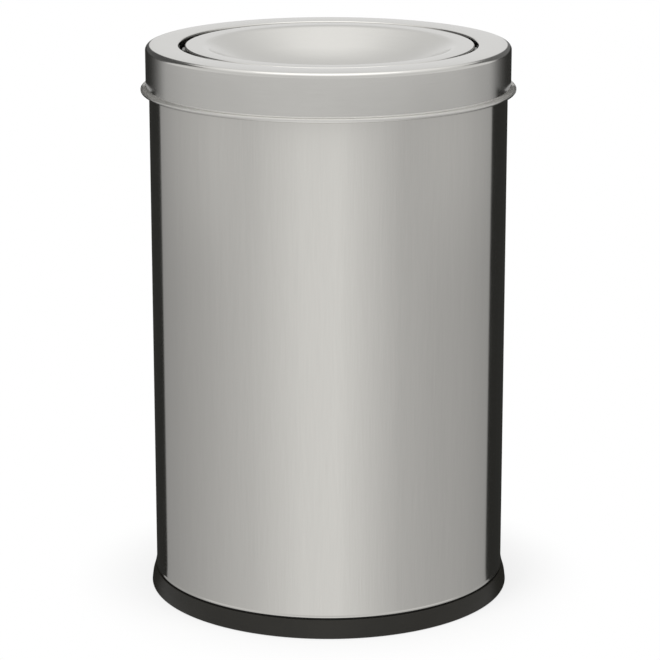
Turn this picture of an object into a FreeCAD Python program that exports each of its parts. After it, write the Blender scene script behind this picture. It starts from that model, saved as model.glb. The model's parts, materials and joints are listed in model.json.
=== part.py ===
import FreeCAD, Part

import math
import os

# Round stainless-steel swing-top bin, in millimetres, +Z up.
# The origin is on the floor, at the middle of the base ring. The front faces -Y.
# The flap turns about an axis along X, and a lift-out bucket hangs on the shell's rim.

Vector = FreeCAD.Vector
AXIS_X = Vector(1, 0, 0)
AXIS_Y = Vector(0, 1, 0)
AXIS_Z = Vector(0, 0, 1)
ORIGIN = Vector(0, 0, 0)

# Whole bin
can_radius = 150.0              # outside of the rolled shell
can_height = 470.0              # floor to the flat top of the lid
sheet = 0.6                     # stainless sheet of shell, pan, lid and flap

# Base ring, a moulded plastic ring that flares out to the floor
foot_flare = 4.3                # widest at the floor, this far outside the shell
foot_land = 3.0                 # width of the flat that stands on the floor
foot_round = 1.0
ring_height = 17.0              # floor to the seat under the shell
ring_lip = 0.9                  # the flare's top stands this far outside the shell
ring_lip_drop = 1.2             # and this far below the seat, which leaves a dark groove
ring_lip_round = 0.8
flare_knee_out = 3.3            # where the flare turns steeper, outside the shell
flare_knee_height = 8.0
flare_round = 22.0
groove_depth = 1.7              # below the seat
seat_inset = 0.4                # the seat's edge, inside the shell's outside
spigot_gap = 0.3                # between the spigot and the shell's folded foot
spigot_wall = 2.0
spigot_height = 14.5            # above the seat
spigot_lead = 0.6               # chamfer that guides the shell on
web_thick = 2.5
web_top = 11.0                  # the pan lies on the web
web_width = 20.0                # from the spigot inwards
web_start = 4.2                 # the web's underside meets the foot's wall this far inside the foot
rib_count = 16
rib_thick = 1.8
rib_length = 8.0                # inwards from the foot's wall
rib_lift = 1.0                  # off the floor

# Shell, a rolled cylinder with its edges folded inwards
hem_thick = 1.4                 # two sheets and the crease between them
hem_height = 7.0
hem_round = 0.5
toe_out = 0.7                   # a small rolled bead at the shell's foot stands out this far
toe_edge = 1.2                  # height of the bead's edge
toe_height = 2.2                # height of the whole bead
toe_round = 0.7
seam_width = 4.0                # the rolled sheet's seam, at the back
seam_proud = 0.25
seam_margin = 14.0              # from either end of the shell

# Bottom pan, a pressed disc with an upturned edge
pan_gap = 0.3                   # inside the spigot
pan_edge = 13.0                 # height of the upturned edge
pan_edge_round = 2.5
panel_inset = 14.3              # the raised middle's flat, inside the web's inner edge
panel_rise = 4.0
panel_slope = 6.0
panel_round = 3.0

# Screws that hold the pan to the base ring's web
base_screw_count = 4
base_screw_inset = 10.0         # from the spigot's inside to the screws' circle
base_screw_radius = 2.1
base_screw_head_radius = 3.9
base_screw_head = 2.4
base_screw_tip = 1.4            # above the pan
base_screw_clearance = 0.2      # hole in the web

# Inner bucket, moulded plastic, hung by its flange on the shell's rim
bucket_wall = 2.0
bucket_flange = 2.0
bucket_gap = 1.1                # inside the shell's fold
flange_round = 3.1
flange_inner_round = 1.2
lip_gap = 0.4                   # between the flange's turned-down lip and the shell
lip_wall = 1.1
lip_drop = 6.0
bucket_neck = 26.0              # straight part below the flange
bucket_taper = 8.5              # radius lost from the neck to the bottom
bucket_lift = 6.5               # above the pan's raised middle
bucket_corner = 9.0
bucket_foot = 30.0              # width of the floor outside the pushed-up middle
bucket_panel_rise = 3.0
bucket_panel_slope = 5.0
grip_width = 90.0               # slots for the fingers, front and back
grip_height = 24.0
grip_drop = 39.0                # from the flange's underside to the slot's top edge

# Lid, a pressed cover with a skirt, a rolled bead and a collar round the opening
skirt_gap = 2.1                 # between the shell and the skirt
lid_round = 4.0
cover_width = 27.7              # from the collar's inside to the skirt's outside
collar_depth = 14.0
collar_round = 1.5
neck_round = 1.0                # between the skirt and the bead
bead_radius = 1.8               # of the rolled edge's section
bead_reach = 4.4                # outside the skirt
bead_drop = 35.2                # from the top to the bead's upper side

# Flap, a pressed dish with a flat rim and a turned-down lip
flap_sink = 0.55                # its rim lies this far below the lid's top
flap_gap = 4.2                  # between its lip and the collar
flap_lip = 12.0
flap_lip_round = 1.2
rim_width = 16.5
dish_depth = 28.0
dish_slope = 53.0               # width of the slope, from the rim's edge to the bottom's level
shoulder_round = 14.0
bowl_round = 120.0

# Pivots, an M4 screw each side in a nylon bush
pivot_drop = 7.5                # axis below the lid's top
pivot_radius = 2.0
pivot_clearance = 0.05          # running fit in the bush
pivot_head_radius = 4.0
pivot_head = 2.6
pivot_tip_past = 3.5            # past the collar's inside
pivot_chamfer = 0.4
washer_radius = 4.5
washer_thick = 0.8
nut_flats = 7.0
nut_thick = 2.0
thread_gap = 0.02               # between a nut and its screw
seat_gap = 0.02                 # between a flat face and the curved sheet that it seats on
bush_flange_radius = 5.5
bush_flange = 0.8
bush_radius = 3.45
bush_hole_clearance = 0.05
bush_catch = 0.45               # the catch stands out past the bush's body
bush_catch_length = 1.4
bush_nose = 1.2
end_gap = 0.1                   # the flap has slid along its axis to within this of one bush

# Counterweight, hung under the dish on a welded stud
weight_radius = 30.0
weight_thick = 8.0
weight_chamfer = 1.0
stud_radius = 3.0
stud_past = 3.0                 # below the nut
stud_clearance = 0.2
weight_washer_radius = 6.0
weight_washer_thick = 1.6
weight_nut_flats = 10.0
weight_nut_thick = 5.0

# Cuts run past the surfaces that they open by this much
overrun = 1.0

# Levels and radii that follow from the sizes above
foot_radius = can_radius + foot_flare
skirt_radius = can_radius + skirt_gap + sheet
opening_radius = skirt_radius - cover_width
lid_under = can_height - sheet
rim_level = lid_under - bucket_flange
hem_radius = can_radius - hem_thick
spigot_radius = hem_radius - spigot_gap
spigot_inner = spigot_radius - spigot_wall
web_inner = spigot_inner - web_width
web_bottom = web_top - web_thick
base_screw_circle = spigot_inner - base_screw_inset
panel_radius = web_inner - panel_inset
panel_top = web_top + panel_rise + sheet
bucket_outer = hem_radius - bucket_gap
bucket_bottom = panel_top + bucket_lift
bucket_panel_edge = bucket_outer - bucket_taper - bucket_foot
flap_radius = opening_radius - flap_gap
dish_start = flap_radius - rim_width
dish_floor = dish_start - dish_slope
flap_level = can_height - flap_sink
dish_level = flap_level - dish_depth
pivot_level = can_height - pivot_drop


def unit(vector):
    """The vector's direction."""
    return vector / vector.Length


def rounded_edges(corners, closed):
    """Lines and tangent arcs through corners (across, up, bend) in the XZ plane."""
    points = [Vector(across, 0, up) for across, up, bend in corners]
    count = len(points)
    arcs = []
    for i, (across, up, bend) in enumerate(corners):
        here = points[i]
        if bend == 0 or (not closed and i in (0, count - 1)):
            arcs.append((here, None, here))
            continue
        back = unit(points[i - 1] - here)
        ahead = unit(points[(i + 1) % count] - here)
        half = back.getAngle(ahead) / 2
        reach = bend / math.tan(half)
        inset = bend / math.sin(half) - bend
        arcs.append((here + back * reach, here + unit(back + ahead) * inset, here + ahead * reach))
    edges = []
    for i, (arrive, middle, leave) in enumerate(arcs):
        if middle is not None:
            edges.append(Part.Arc(arrive, middle, leave).toShape())
        if i < count - 1 or closed:
            after = arcs[(i + 1) % count][0]
            if (after - leave).Length > Part.Precision.confusion():
                edges.append(Part.makeLine(leave, after))
    return edges


def moved_path(path, distance):
    """An open path moved sideways, to its left for a positive distance, with the same centres."""
    points = [Vector(across, 0, up) for across, up, bend in path]
    steps = [unit(b - a) for a, b in zip(points, points[1:])]
    sides = [Vector(-step.z, 0, step.x) for step in steps]
    moved = []
    for i, (across, up, bend) in enumerate(path):
        before = max(i - 1, 0)
        after = min(i, len(steps) - 1)
        mitre = (sides[before] + sides[after]) / (1 + sides[before].dot(sides[after]))
        turn = steps[before].x * steps[after].z - steps[before].z * steps[after].x
        new_bend = bend - math.copysign(distance, turn * distance) if bend else 0
        spot = points[i] + mitre * distance
        moved.append((spot.x, spot.z, new_bend))
    return moved


def face_of(corners):
    """A flat face in the XZ plane inside a closed outline of corners."""
    return Part.Face(Part.Wire(Part.sortEdges(rounded_edges(corners, True))[0]))


def turned(corners):
    """A closed outline turned once round the Z axis."""
    return face_of(corners).revolve(ORIGIN, AXIS_Z, 360)


def pressed(path, gauge):
    """Sheet of one gauge along an open path, on its left for a positive gauge, turned round Z."""
    edges = rounded_edges(path, False)
    other = rounded_edges(moved_path(path, gauge), False)
    ends = [Part.makeLine(edges[0].firstVertex().Point, other[0].firstVertex().Point)]
    ends.append(Part.makeLine(edges[-1].lastVertex().Point, other[-1].lastVertex().Point))
    wire = Part.Wire(Part.sortEdges(edges + other + ends)[0])
    return Part.Face(wire).revolve(ORIGIN, AXIS_Z, 360)


def along_x(corners, side):
    """An outline (distance along X, radius, bend) turned round the X axis, on one side of the bin."""
    solid = face_of(corners).revolve(ORIGIN, AXIS_X, 360)
    if side < 0:
        solid = solid.mirror(ORIGIN, AXIS_X)
    return solid


def hexagon(flats):
    """A closed hexagon in the XY plane, its flats this far apart, a corner on X."""
    reach = flats / math.sqrt(3)
    corners = [Vector(reach * math.cos(k * math.pi / 3), reach * math.sin(k * math.pi / 3), 0)
               for k in range(6)]
    return Part.Face(Part.makePolygon(corners + corners[:1]))


def nut(flats, thick, bore):
    """A hexagon nut from z = 0 up, its corners chamfered by a cone on both faces."""
    block = hexagon(flats).extrude(AXIS_Z * thick)
    corner = flats / math.sqrt(3)
    bevel = (corner - flats / 2) / math.sqrt(3)
    rounding = turned([
        (0, 0, 0), (flats / 2, 0, 0), (corner, bevel, 0),
        (corner, thick - bevel, 0), (flats / 2, thick, 0), (0, thick, 0)])
    return block.common(rounding).cut(Part.makeCylinder(bore, thick))


def ring_of(count, radius, solid):
    """Copies of a solid that stands at the origin, spread evenly round a circle from 45 degrees."""
    copies = []
    for k in range(count):
        copy = solid.copy()
        copy.translate(AXIS_X * radius)
        copy.rotate(ORIGIN, AXIS_Z, 45 + 360 * k / count)
        copies.append(copy)
    return copies


def make_base_ring():
    """Flared foot, seat for the shell, spigot inside it, and an inner web under the pan."""
    spigot_top = ring_height + spigot_height
    outline = [
        (foot_radius - foot_land, 0, 0),
        (foot_radius, 0, foot_round),
        (can_radius + flare_knee_out, flare_knee_height, flare_round),
        (can_radius + ring_lip, ring_height - ring_lip_drop, ring_lip_round),
        (can_radius - seat_inset, ring_height - groove_depth, 0),
        (can_radius - seat_inset, ring_height, 0),
        (spigot_radius, ring_height, 0),
        (spigot_radius, spigot_top - spigot_lead, 0),
        (spigot_radius - spigot_lead, spigot_top, 0),
        (spigot_inner, spigot_top, 0),
        (spigot_inner, web_top, 0),
        (web_inner, web_top, 0),
        (web_inner, web_bottom, 0),
        (foot_radius - web_start, web_bottom, 0)]
    ring = turned(outline)
    rib = Part.makeBox(rib_length + foot_land / 2, rib_thick, web_bottom - rib_lift + web_thick / 2,
                       Vector(-rib_length, -rib_thick / 2, rib_lift))
    ribs = ring_of(rib_count, foot_radius - foot_land, rib)
    hole = Part.makeCylinder(base_screw_radius + base_screw_clearance, web_thick + 2 * overrun,
                             Vector(0, 0, web_bottom - overrun))
    return ring.fuse(ribs).cut(ring_of(base_screw_count, base_screw_circle, hole)).removeSplitter()


def make_shell():
    """Rolled cylinder with folded edges and a flat seam down the back."""
    inner = can_radius - sheet
    body = turned([
        (can_radius + toe_out, ring_height, toe_round),
        (can_radius + toe_out, ring_height + toe_edge, toe_round),
        (can_radius, ring_height + toe_height, toe_round),
        (can_radius, rim_level, hem_round),
        (hem_radius, rim_level, 0),
        (hem_radius, rim_level - hem_height, 0),
        (inner, rim_level - hem_height, 0),
        (inner, ring_height + hem_height, 0),
        (hem_radius, ring_height + hem_height, 0),
        (hem_radius, ring_height, 0)])
    seam_angle = math.degrees(seam_width / can_radius)
    strip = face_of([
        (inner + sheet / 2, ring_height + seam_margin, 0),
        (can_radius + seam_proud, ring_height + seam_margin, 0),
        (can_radius + seam_proud, rim_level - seam_margin, 0),
        (inner + sheet / 2, rim_level - seam_margin, 0)])
    seam = strip.revolve(ORIGIN, AXIS_Z, seam_angle)
    seam.rotate(ORIGIN, AXIS_Z, 90 - seam_angle / 2)
    return body.fuse(seam)


def make_bottom_pan():
    """Pressed disc with an upturned edge and a raised middle."""
    radius = spigot_inner - pan_gap
    pan = pressed([
        (radius, web_top + pan_edge, 0),
        (radius, web_top, pan_edge_round),
        (panel_radius + panel_slope, web_top, panel_round),
        (panel_radius, web_top + panel_rise, panel_round),
        (0, web_top + panel_rise, 0)], -sheet)
    hole = Part.makeCylinder(base_screw_radius + thread_gap, sheet + 2 * overrun,
                             Vector(0, 0, web_top - overrun))
    return pan.cut(ring_of(base_screw_count, base_screw_circle, hole))


def make_base_screws():
    """Pan-head screws from below, through the web into the pan."""
    tip = web_top + sheet + base_screw_tip
    screw = turned([
        (0, web_bottom - base_screw_head, 0),
        (base_screw_head_radius, web_bottom - base_screw_head, base_screw_head / 2),
        (base_screw_head_radius, web_bottom, 0),
        (base_screw_radius, web_bottom, 0),
        (base_screw_radius, tip - base_screw_tip / 2, 0),
        (base_screw_radius - base_screw_tip / 2, tip, 0),
        (0, tip, 0)])
    return Part.makeCompound(ring_of(base_screw_count, base_screw_circle, screw))


def make_inner_bucket():
    """Tapered bucket with a hooked flange, a pushed-up floor and two finger slots."""
    inner = bucket_outer - bucket_wall
    lip_inner = can_radius + lip_gap
    lip_outer = lip_inner + lip_wall
    neck_level = rim_level - bucket_neck
    floor = bucket_bottom + bucket_wall
    bucket = turned([
        (lip_outer, rim_level - lip_drop, 0),
        (lip_outer, lid_under, flange_round),
        (inner, lid_under, flange_inner_round),
        (inner, neck_level, 0),
        (inner - bucket_taper, floor, bucket_corner - bucket_wall),
        (bucket_panel_edge, floor, 0),
        (bucket_panel_edge - bucket_panel_slope, floor + bucket_panel_rise, 0),
        (0, floor + bucket_panel_rise, 0),
        (0, bucket_bottom + bucket_panel_rise, 0),
        (bucket_panel_edge - bucket_panel_slope, bucket_bottom + bucket_panel_rise, 0),
        (bucket_panel_edge, bucket_bottom, 0),
        (bucket_outer - bucket_taper, bucket_bottom, bucket_corner),
        (bucket_outer, neck_level, 0),
        (bucket_outer, rim_level, 0),
        (lip_inner, rim_level, 0),
        (lip_inner, rim_level - lip_drop, 0)])
    grip_top = rim_level - grip_drop
    slot = face_of([
        (-grip_width / 2, grip_top - grip_height, grip_height / 2),
        (grip_width / 2, grip_top - grip_height, grip_height / 2),
        (grip_width / 2, grip_top, grip_height / 2),
        (-grip_width / 2, grip_top, grip_height / 2)])
    slot.translate(AXIS_Y * -can_radius)
    return bucket.cut(slot.extrude(AXIS_Y * (2 * can_radius)))


def make_lid_ring():
    """Pressed cover: collar, flat ring, rounded edge, skirt and rolled bead."""
    collar_end = can_height - collar_depth
    bead_top = can_height - bead_drop
    bead_bottom = bead_top - 2 * bead_radius
    bead_outer = skirt_radius + bead_reach
    bead_inner = bead_outer - 2 * bead_radius
    lid = pressed([
        (opening_radius, collar_end, 0),
        (opening_radius, can_height, collar_round),
        (skirt_radius, can_height, lid_round),
        (skirt_radius, bead_top, neck_round),
        (bead_outer, bead_top, bead_radius),
        (bead_outer, bead_bottom, bead_radius),
        (bead_inner, bead_bottom, bead_radius),
        (bead_inner, bead_bottom + bead_radius, 0)], -sheet)
    reach = opening_radius + sheet + overrun
    hole = Part.makeCylinder(bush_radius + bush_hole_clearance, 2 * reach,
                             Vector(-reach, 0, pivot_level), AXIS_X)
    return lid.cut(hole)


def bush_seat():
    """Distance from the middle to the face of the collar that a bush's flange seats on."""
    return math.sqrt(opening_radius ** 2 - bush_flange_radius ** 2) - seat_gap


def nut_seat():
    """Distance from the flap's middle to the outside of its lip, where a pivot nut seats."""
    return flap_radius + seat_gap


def flap_slide():
    """How far the flap has slid along its axis, until a nut is close to a bush."""
    return bush_seat() - bush_flange - nut_seat() - nut_thick - end_gap


def make_pivot_bush(side):
    """Nylon bush pushed through the collar, with a flange inside and a catch outside."""
    seat = bush_seat()
    catch = opening_radius + sheet + seat_gap
    end = catch + bush_catch_length + bush_nose
    bore = pivot_radius + pivot_clearance
    bush = along_x([
        (seat - bush_flange, bore, 0),
        (seat - bush_flange, bush_flange_radius, bush_flange / 2),
        (seat, bush_flange_radius, 0),
        (seat, bush_radius, 0),
        (catch, bush_radius, 0),
        (catch, bush_radius + bush_catch, 0),
        (catch + bush_catch_length, bush_radius + bush_catch, 0),
        (end, bush_radius - bush_catch, 0),
        (end, bore, 0)], side)
    bush.translate(AXIS_Z * pivot_level)
    return bush


def washer_seat():
    """Distance from the flap's middle to the washer's face against the lip's inside."""
    inside = flap_radius - sheet
    return math.sqrt(inside ** 2 - washer_radius ** 2) - seat_gap


def on_flap(solid):
    """Moves a piece from the flap's own middle to where the flap hangs in the lid."""
    solid.translate(AXIS_X * flap_slide())
    return solid


def make_flap_dish():
    """Pressed dish with a flat rim, a turned-down lip and a hole each side for the pivots."""
    dish = pressed([
        (flap_radius, flap_level - flap_lip, 0),
        (flap_radius, flap_level, flap_lip_round),
        (dish_start, flap_level, shoulder_round),
        (dish_floor, dish_level, bowl_round),
        (0, dish_level, 0)], sheet)
    reach = flap_radius + overrun
    inside = flap_radius - sheet - overrun
    for start in (-reach, inside):
        hole = Part.makeCylinder(pivot_radius + pivot_clearance, reach - inside,
                                 Vector(start, 0, pivot_level), AXIS_X)
        dish = dish.cut(hole)
    return on_flap(dish)


def make_pivot_screw(side):
    """M4 pan-head screw, its head inside the lip and its plain end in the bush."""
    bearing = washer_seat() - washer_thick
    tip = opening_radius + pivot_tip_past
    screw = along_x([
        (bearing - pivot_head, 0, 0),
        (bearing - pivot_head, pivot_head_radius, pivot_head / 2),
        (bearing, pivot_head_radius, 0),
        (bearing, pivot_radius, 0),
        (tip - pivot_chamfer, pivot_radius, 0),
        (tip, pivot_radius - pivot_chamfer, 0),
        (tip, 0, 0)], side)
    screw.translate(AXIS_Z * pivot_level)
    return on_flap(screw)


def make_pivot_washer(side):
    """Washer between the screw's head and the lip."""
    seat = washer_seat()
    washer = along_x([
        (seat - washer_thick, pivot_radius + pivot_clearance, 0),
        (seat - washer_thick, washer_radius, 0),
        (seat, washer_radius, 0),
        (seat, pivot_radius + pivot_clearance, 0)], side)
    washer.translate(AXIS_Z * pivot_level)
    return on_flap(washer)


def make_pivot_nut(side):
    """Thin nut that clamps the screw to the lip, in the gap round the flap."""
    solid = nut(nut_flats, nut_thick, pivot_radius + thread_gap)
    solid.translate(AXIS_Z * nut_seat())
    solid.rotate(ORIGIN, AXIS_Y, 90 * side)
    solid.translate(AXIS_Z * pivot_level)
    return on_flap(solid)


def make_counterweight():
    """Steel disc that levels the flap."""
    top = dish_level - sheet
    bore = stud_radius + stud_clearance
    disc = turned([
        (bore, top - weight_thick, 0),
        (weight_radius - weight_chamfer, top - weight_thick, 0),
        (weight_radius, top - weight_thick + weight_chamfer, 0),
        (weight_radius, top - weight_chamfer, 0),
        (weight_radius - weight_chamfer, top, 0),
        (bore, top, 0)])
    return on_flap(disc)


def make_weight_stud():
    """M6 stud welded under the dish."""
    top = dish_level - sheet
    end = top - weight_thick - weight_washer_thick - weight_nut_thick - stud_past
    chamfer = stud_radius / 4
    stud = turned([
        (0, end, 0),
        (stud_radius - chamfer, end, 0),
        (stud_radius, end + chamfer, 0),
        (stud_radius, top, 0),
        (0, top, 0)])
    return on_flap(stud)


def make_weight_washer():
    """Washer under the counterweight."""
    top = dish_level - sheet - weight_thick
    bore = stud_radius + stud_clearance
    washer = turned([
        (bore, top - weight_washer_thick, 0),
        (weight_washer_radius, top - weight_washer_thick, 0),
        (weight_washer_radius, top, 0),
        (bore, top, 0)])
    return on_flap(washer)


def make_weight_nut():
    """M6 nut that holds the counterweight up."""
    solid = nut(weight_nut_flats, weight_nut_thick, stud_radius + thread_gap)
    top = dish_level - sheet - weight_thick - weight_washer_thick
    solid.translate(AXIS_Z * (top - weight_nut_thick))
    return on_flap(solid)


pieces = {
    "base_ring": make_base_ring(),
    "shell": make_shell(),
    "bottom_pan": make_bottom_pan(),
    "base_screws": make_base_screws(),
    "inner_bucket": make_inner_bucket(),
    "lid_ring": make_lid_ring(),
    "flap_dish": make_flap_dish(),
    "counterweight": make_counterweight(),
    "weight_stud": make_weight_stud(),
    "weight_washer": make_weight_washer(),
    "weight_nut": make_weight_nut(),
}
for name, side in (("left", -1), ("right", 1)):
    pieces["pivot_bush_" + name] = make_pivot_bush(side)
    pieces["pivot_screw_" + name] = make_pivot_screw(side)
    pieces["pivot_washer_" + name] = make_pivot_washer(side)
    pieces["pivot_nut_" + name] = make_pivot_nut(side)

for name, shape in pieces.items():
    shape.exportStep("parts/" + name + ".step")
    box = shape.BoundBox
    print(name, "solids", len(shape.Solids), "valid", shape.isValid(), "volume", round(shape.Volume, 1),
          "x", round(box.XMin, 2), round(box.XMax, 2), "z", round(box.ZMin, 2), round(box.ZMax, 2))
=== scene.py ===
import json
import math

import bpy
from bpy.props import FloatProperty, FloatVectorProperty, IntProperty, PointerProperty
from mathutils import Matrix, Vector


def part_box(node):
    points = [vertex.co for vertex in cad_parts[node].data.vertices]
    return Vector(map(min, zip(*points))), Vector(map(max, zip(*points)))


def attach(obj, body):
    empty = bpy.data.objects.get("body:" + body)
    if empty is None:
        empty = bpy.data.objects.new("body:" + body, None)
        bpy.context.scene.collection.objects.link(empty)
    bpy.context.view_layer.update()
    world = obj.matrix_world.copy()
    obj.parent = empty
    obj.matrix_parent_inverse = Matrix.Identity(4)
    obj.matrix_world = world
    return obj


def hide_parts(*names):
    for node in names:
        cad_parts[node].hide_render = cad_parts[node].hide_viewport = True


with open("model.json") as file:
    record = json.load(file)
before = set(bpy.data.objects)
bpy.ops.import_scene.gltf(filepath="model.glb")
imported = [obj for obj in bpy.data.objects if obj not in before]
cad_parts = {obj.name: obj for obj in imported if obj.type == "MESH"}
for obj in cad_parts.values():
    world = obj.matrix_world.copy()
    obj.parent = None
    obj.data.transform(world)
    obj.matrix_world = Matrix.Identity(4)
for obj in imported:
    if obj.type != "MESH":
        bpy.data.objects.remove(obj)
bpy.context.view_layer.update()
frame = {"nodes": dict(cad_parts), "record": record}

bl_info = {
    "name": "Swing-top bin",
    "version": (1, 0, 0),
    "blender": (4, 5, 0),
    "location": "3D View > Sidebar > Swing-top bin",
    "description": "Dresses the round steel swing-top bin and sets its studio",
    "category": "Add Mesh",
}

# Heights taken from the frame, in metres
LID_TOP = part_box("lid_ring")[1].z
SHELL_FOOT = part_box("shell")[0].z
SHELL_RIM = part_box("shell")[1].z
BUCKET_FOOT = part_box("inner_bucket")[0].z
BUCKET_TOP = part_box("inner_bucket")[1].z
PAN_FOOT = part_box("bottom_pan")[0].z
SPIGOT_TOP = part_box("base_ring")[1].z
LID_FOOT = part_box("lid_ring")[0].z
FLAP_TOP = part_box("flap_dish")[1].z
FLAP_SLIDE = (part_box("flap_dish")[0].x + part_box("flap_dish")[1].x) / 2

AXIS_Z = (0, 0, 1)
SPIN_STEPS = 240  # faces round a turned piece
ARC_STEP = math.radians(9)  # most turn between two points of a rounded bend
WELD = 1e-6  # points closer than this are one
SMOOTH_ANGLE = math.radians(32)
FIRST_RIB = math.radians(45)  # bearing of the first of the pieces that repeat round the axis
RIB_ROUND_SHARE = 1 / 6  # a rib's rounded edge, in its thicknesses
SLOT_END_SHARE = 1 / 2.01  # radius of a slot's ends in its heights, just under half
CUTTER_SHARE = 1.2  # half the slot cutter's length, in the shell's radii


def length(name, default, description):
    """A size in metres with its sidebar name and help."""
    return FloatProperty(name=name, description=description, default=default, unit="LENGTH", precision=5)


def colour(name, default, description):
    """A linear colour with its sidebar name and help."""
    return FloatVectorProperty(name=name, description=description, default=default, subtype="COLOR", size=3,
                               min=0, max=1)


def share(name, default, description):
    """A number from 0 to 1 with its sidebar name and help."""
    return FloatProperty(name=name, description=description, default=default, min=0, max=1, subtype="FACTOR")


def number(name, default, description, low, high):
    """A plain number with its sidebar name and help."""
    return FloatProperty(name=name, description=description, default=default, min=low, max=high)


def angle(name, degrees, description):
    """An angle, given in degrees, with its sidebar name and help."""
    return FloatProperty(name=name, description=description, default=math.radians(degrees), subtype="ANGLE")


class BinShellSizes(bpy.types.PropertyGroup):
    """Sizes of the rolled shell."""
    radius: length("Radius", 0.150, "Outside of the rolled sheet")
    gauge: length("Gauge", 0.0006, "Thickness of the sheet, also of the lid, the flap and the pan")
    hem: length("Hem", 0.0014, "Thickness of the folded edge")
    hem_height: length("Hem height", 0.007, "Height of the folded edge")
    hem_round: length("Hem round", 0.0005, "Radius of the fold's corner")
    toe_out: length("Toe", 0.0007, "The rolled bead at the foot stands out this far")
    toe_edge: length("Toe edge", 0.0012, "Height of the bead's edge")
    toe_height: length("Toe height", 0.0022, "Height of the whole bead")
    toe_round: length("Toe round", 0.0007, "Radius of the bead's bends")
    seam_proud: length("Seam", 0.00025, "How far the seam at the back stands out")
    seam_margin: length("Seam margin", 0.014, "From the shell's ends to the seam's ends")


class BinBaseSizes(bpy.types.PropertyGroup):
    """Sizes of the moulded base ring and the pan."""
    foot_flare: length("Foot flare", 0.0043, "The foot stands this far outside the shell")
    foot_land: length("Foot land", 0.003, "Width of the flat that stands on the floor")
    foot_round: length("Foot round", 0.001, "Radius of the foot's edge")
    lip: length("Lip", 0.0009, "The flare's top stands this far outside the shell")
    lip_drop: length("Lip drop", 0.0012, "The flare's top lies this far below the shell's foot")
    lip_round: length("Lip round", 0.0008, "Radius of the flare's top edge")
    knee_out: length("Knee", 0.0033, "Where the flare turns steeper, outside the shell")
    knee_height: length("Knee height", 0.008, "Height of the flare's knee")
    knee_round: length("Knee round", 0.022, "Radius of the flare's knee")
    groove: length("Groove", 0.0017, "Depth of the groove under the shell")
    seat_inset: length("Seat inset", 0.0004, "The seat's edge, inside the shell's outside")
    spigot_gap: length("Spigot gap", 0.0003, "Between the spigot and the folded edge")
    spigot_wall: length("Spigot wall", 0.002, "Wall of the spigot")
    spigot_lead: length("Spigot lead", 0.0006, "Chamfer of the spigot's top")
    web_thick: length("Web", 0.0025, "Thickness of the web under the pan")
    web_width: length("Web width", 0.020, "From the spigot inwards")
    web_start: length("Web start", 0.0042, "The web's underside meets the wall this far inside the foot")
    rib_thick: length("Rib", 0.0018, "Thickness of the ribs under the web")
    rib_length: length("Rib length", 0.008, "From the foot's wall inwards")
    rib_lift: length("Rib lift", 0.001, "The ribs stay this far off the floor")
    rib_count: IntProperty(name="Ribs", description="Ribs under the web", default=16, min=3, max=64)
    pan_gap: length("Pan gap", 0.0003, "Between the pan and the spigot")
    pan_edge: length("Pan edge", 0.013, "Height of the pan's upturned edge")
    pan_edge_round: length("Pan edge round", 0.0025, "Radius at the foot of the pan's edge")
    panel_inset: length("Panel inset", 0.0143, "The raised middle's flat, inside the web's inner edge")
    panel_rise: length("Panel rise", 0.004, "Height of the raised middle")
    panel_slope: length("Panel slope", 0.006, "Width of the raised middle's slope")
    panel_round: length("Panel round", 0.003, "Radius of the raised middle's bends")


class BinBucketSizes(bpy.types.PropertyGroup):
    """Sizes of the inner bucket."""
    gap: length("Gap", 0.0011, "Between the bucket and the shell's folded edge")
    wall: length("Wall", 0.002, "Wall and flange of the moulding")
    flange_round: length("Flange round", 0.0031, "Outer radius of the hooked flange")
    mouth_round: length("Mouth round", 0.0012, "Radius at the bucket's mouth")
    lip_gap: length("Lip gap", 0.0004, "Between the turned-down lip and the shell")
    lip_wall: length("Lip wall", 0.0011, "Wall of the turned-down lip")
    lip_drop: length("Lip drop", 0.006, "Height of the turned-down lip")
    neck: length("Neck", 0.026, "Straight part below the flange")
    taper: length("Taper", 0.0085, "Radius lost from the neck to the bottom")
    corner: length("Corner", 0.009, "Outer radius of the bottom corner")
    foot: length("Foot", 0.030, "Width of the floor outside the pushed-up middle")
    panel_rise: length("Panel rise", 0.003, "Height of the pushed-up middle")
    panel_slope: length("Panel slope", 0.005, "Width of the pushed-up middle's slope")
    grip_width: length("Slot width", 0.090, "Width of the finger slots")
    grip_height: length("Slot height", 0.024, "Height of the finger slots")
    grip_drop: length("Slot drop", 0.039, "From the shell's rim to the slots' top edge")


class BinLidSizes(bpy.types.PropertyGroup):
    """Sizes of the pressed lid ring."""
    skirt_gap: length("Skirt gap", 0.0021, "Between the shell and the skirt")
    cover_width: length("Cover width", 0.0277, "From the collar's inside to the skirt's outside")
    edge_round: length("Edge round", 0.004, "Radius between the top and the skirt")
    collar_depth: length("Collar depth", 0.014, "Height of the collar in the opening")
    collar_round: length("Collar round", 0.0015, "Radius between the top and the collar")
    neck_round: length("Neck round", 0.001, "Radius between the skirt and the bead")
    bead_radius: length("Bead radius", 0.0018, "Radius of the rolled edge's section")
    bead_reach: length("Bead reach", 0.0044, "The rolled edge's outside, from the skirt")
    bead_drop: length("Bead drop", 0.0352, "From the top to the rolled edge's upper side")


class BinFlapSizes(bpy.types.PropertyGroup):
    """Sizes of the swing flap."""
    gap: length("Gap", 0.0042, "Between the flap's lip and the collar")
    lip: length("Lip", 0.012, "Height of the turned-down lip")
    lip_round: length("Lip round", 0.0012, "Radius between the rim and the lip")
    rim_width: length("Rim width", 0.0165, "Width of the flat rim")
    dish_depth: length("Dish depth", 0.028, "From the rim to the dish's bottom")
    dish_slope: length("Dish slope", 0.053, "Width of the dish's slope")
    shoulder_round: length("Shoulder round", 0.014, "Radius from the rim into the dish")
    bowl_round: length("Bowl round", 0.120, "Radius from the slope into the bottom")


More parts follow.
